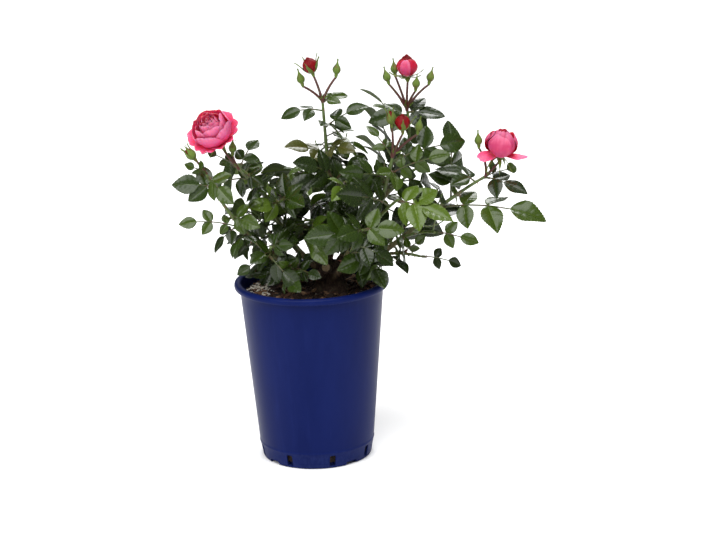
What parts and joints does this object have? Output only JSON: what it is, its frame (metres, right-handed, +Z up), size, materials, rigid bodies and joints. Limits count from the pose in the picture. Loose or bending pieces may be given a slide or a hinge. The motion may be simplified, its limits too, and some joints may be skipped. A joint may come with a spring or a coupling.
{
  "type": "rose bush in a nursery pot",
  "caption": "Bushy pink-flowered patio rose with compound leaves, open blooms and buds, standing in a tall round blue plastic nursery pot.",
  "frame": {"origin": "centre of the pot's flat underside, where it stands", "axes": "+Z up along the pot's axis; -Y is the side that the front sprays lean to, +X the side of the furthest-reaching cane"},
  "size_m": [0.4703, 0.2563, 0.5276],
  "materials": {
    "pot_plastic": "satin, injection moulded",
    "potting_mix": "moist bark and peat",
    "old_bark": "rough bark",
    "cane_bark": "smooth young bark",
    "foliage": "leathery green leaves"
  },
  "bodies": {
    "root": {"pot": "pot_plastic", "potting_mix": "potting_mix", "bud_union": "old_bark", "left_cane": "cane_bark", "low_left_cane": "cane_bark", "middle_cane": "cane_bark", "right_cane": "cane_bark", "far_right_cane": "cane_bark", "back_right_cane": "cane_bark", "back_left_cane": "cane_bark", "front_cane": "cane_bark", "left_bloom_spray": "foliage", "left_bud_spray": "foliage", "middle_bud_spray": "foliage", "red_bud_spray": "foliage", "pink_bud_spray": "foliage", "right_bloom_spray": "foliage", "right_low_spray": "foliage", "right_thin_spray": "foliage", "front_spray": "foliage", "front_right_spray": "foliage", "front_low_spray": "foliage", "front_left_spray": "foliage", "left_low_spray": "foliage", "left_middle_spray": "foliage", "centre_left_spray": "foliage", "centre_front_spray": "foliage", "right_middle_spray": "foliage", "back_middle_spray": "foliage", "back_left_spray": "foliage", "far_left_spray": "foliage", "back_low_spray": "foliage", "back_spray": "foliage", "back_right_spray": "foliage", "far_right_low_spray": "foliage"}
  },
  "joints": []
}
